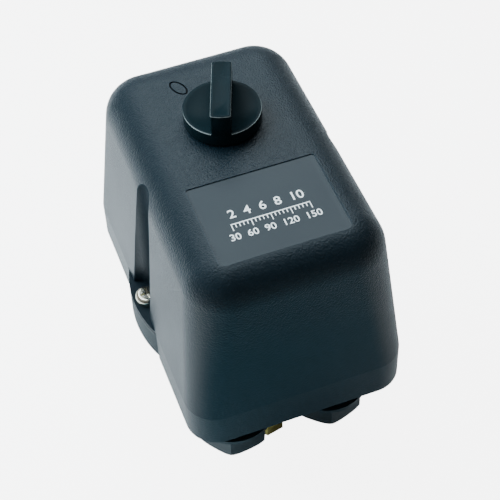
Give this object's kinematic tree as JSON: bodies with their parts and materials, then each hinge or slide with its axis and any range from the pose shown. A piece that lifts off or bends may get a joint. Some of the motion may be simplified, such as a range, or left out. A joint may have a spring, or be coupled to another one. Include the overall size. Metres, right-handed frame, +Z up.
{
  "type": "pressure switch",
  "caption": "Air-compressor pressure switch: drafted box cover with a grip knob on top, round pressure flange with a hex port below, cable glands and an unloader valve.",
  "frame": {"origin": "centre of the pressure port's mouth, on the underside of the hexagon boss", "axes": "+Z up through the cover to the knob, -Y towards the cable glands, +X across the cover"},
  "size_m": [0.0732, 0.1012, 0.1115],
  "materials": {
    "cover_plastic": "fine spark-eroded grain, satin",
    "gland_plastic": "smooth moulded nylon",
    "rubber": "moulded",
    "knob_plastic": "glossy moulded",
    "flange_casting": "die casting, dark coat",
    "black_steel": "black passivated sheet",
    "moulded_block": "thermoset moulding",
    "carrier_plastic": "natural nylon",
    "brass": "turned and pressed",
    "spring_steel": "drawn wire",
    "zinc_steel": "bright zinc plate"
  },
  "bodies": {
    "base": {"base_plate": "black_steel", "contact_block": "moulded_block", "cover_screws": "zinc_steel", "diaphragm": "rubber", "differential_nut": "zinc_steel", "differential_spring": "spring_steel", "differential_stud": "zinc_steel", "earth_screw": "zinc_steel", "earth_washer": "brass", "flange_screws": "zinc_steel", "frame": "zinc_steel", "gland_body_left": "gland_plastic", "gland_body_right": "gland_plastic", "gland_locknut_left": "gland_plastic", "gland_locknut_right": "gland_plastic", "gland_nut_left": "gland_plastic", "gland_nut_right": "gland_plastic", "gland_seal_left": "rubber", "gland_seal_right": "rubber", "off_rivet": "zinc_steel", "pivot_pin": "zinc_steel", "port_boss": "flange_casting", "pressure_flange": "flange_casting", "range_stud": "zinc_steel", "strap": "zinc_steel", "strap_screws": "zinc_steel", "terminal_screws": "zinc_steel", "terminals": "brass", "tube_nut": "brass", "valve_body": "brass", "valve_locknut": "brass"},
    "cover": {"cover": "cover_plastic", "cover_posts": "carrier_plastic"},
    "knob": {"knob": "knob_plastic", "knob_cam": "carrier_plastic", "knob_screw": "zinc_steel"},
    "lever": {"main_lever": "zinc_steel"},
    "plunger": {"plunger": "carrier_plastic"},
    "spring_foot": {"spring_foot": "zinc_steel", "range_spring": "spring_steel"},
    "range_seat": {"range_seat": "zinc_steel"},
    "range_nut": {"range_nut": "zinc_steel"},
    "off_lever": {"off_lever": "carrier_plastic"},
    "carrier": {"contact_carrier": "carrier_plastic", "contact_bridges": "brass", "contact_springs": "spring_steel"},
    "valve_pin": {"valve_pin": "zinc_steel", "valve_spring": "spring_steel"}
  },
  "joints": [
    {"name": "cover_lift", "type": "slide", "parent": "base", "child": "cover", "axis": [0, 0, 1], "range_m": [0, 0.07]},
    {"name": "knob_turn", "type": "hinge", "parent": "cover", "child": "knob", "pos_m": [0, 0.0135, 0.0839], "axis": [0, 0, 1], "range_deg": [0, 45]},
    {"name": "spring_foot_lift", "type": "slide", "parent": "base", "child": "spring_foot", "axis": [0, 0, 1], "range_m": [0, 0.00296], "stiffness_N_per_m": 2000, "springref_m": -0.004, "deforming": ["range_spring"]},
    {"name": "lever_tilt", "type": "hinge", "parent": "base", "child": "lever", "pos_m": [0, -0.01, 0.044], "axis": [1, 0, 0], "range_deg": [0, 5]},
    {"name": "plunger_lift", "type": "slide", "parent": "base", "child": "plunger", "axis": [0, 0, 1], "range_m": [0, 0.0009]},
    {"name": "carrier_drop", "type": "slide", "parent": "base", "child": "carrier", "axis": [0, 0, 1], "range_m": [-0.0015, 0]},
    {"name": "valve_press", "type": "slide", "parent": "base", "child": "valve_pin", "axis": [0, 0, 1], "range_m": [-0.0015, 0], "deforming": ["valve_spring"]},
    {"name": "off_lever_swing", "type": "hinge", "parent": "base", "child": "off_lever", "pos_m": [0, -0.001, 0.0663], "axis": [0, 0, 1], "range_deg": [-29, 0]},
    {"name": "seat_slide", "type": "slide", "parent": "base", "child": "range_seat", "axis": [0, 0, 1], "range_m": [0, 0.0005]},
    {"name": "range_nut_turn", "type": "hinge", "parent": "range_seat", "child": "range_nut", "pos_m": [0, 0.024, 0.07], "axis": [0, 0, 1], "range_deg": [0, 180.1]}
  ],
  "couplings": [
    {"joint": "lever_tilt", "follows": "spring_foot_lift", "rad_per_m": 29.412},
    {"joint": "plunger_lift", "follows": "spring_foot_lift", "ratio": 0.29412},
    {"joint": "carrier_drop", "follows": "spring_foot_lift", "ratio": -0.5},
    {"joint": "valve_press", "follows": "spring_foot_lift", "ratio": -0.5},
    {"joint": "off_lever_swing", "follows": "knob_turn", "ratio": -0.63904},
    {"joint": "range_nut_turn", "follows": "seat_slide", "rad_per_m": 6283.2}
  ]
}
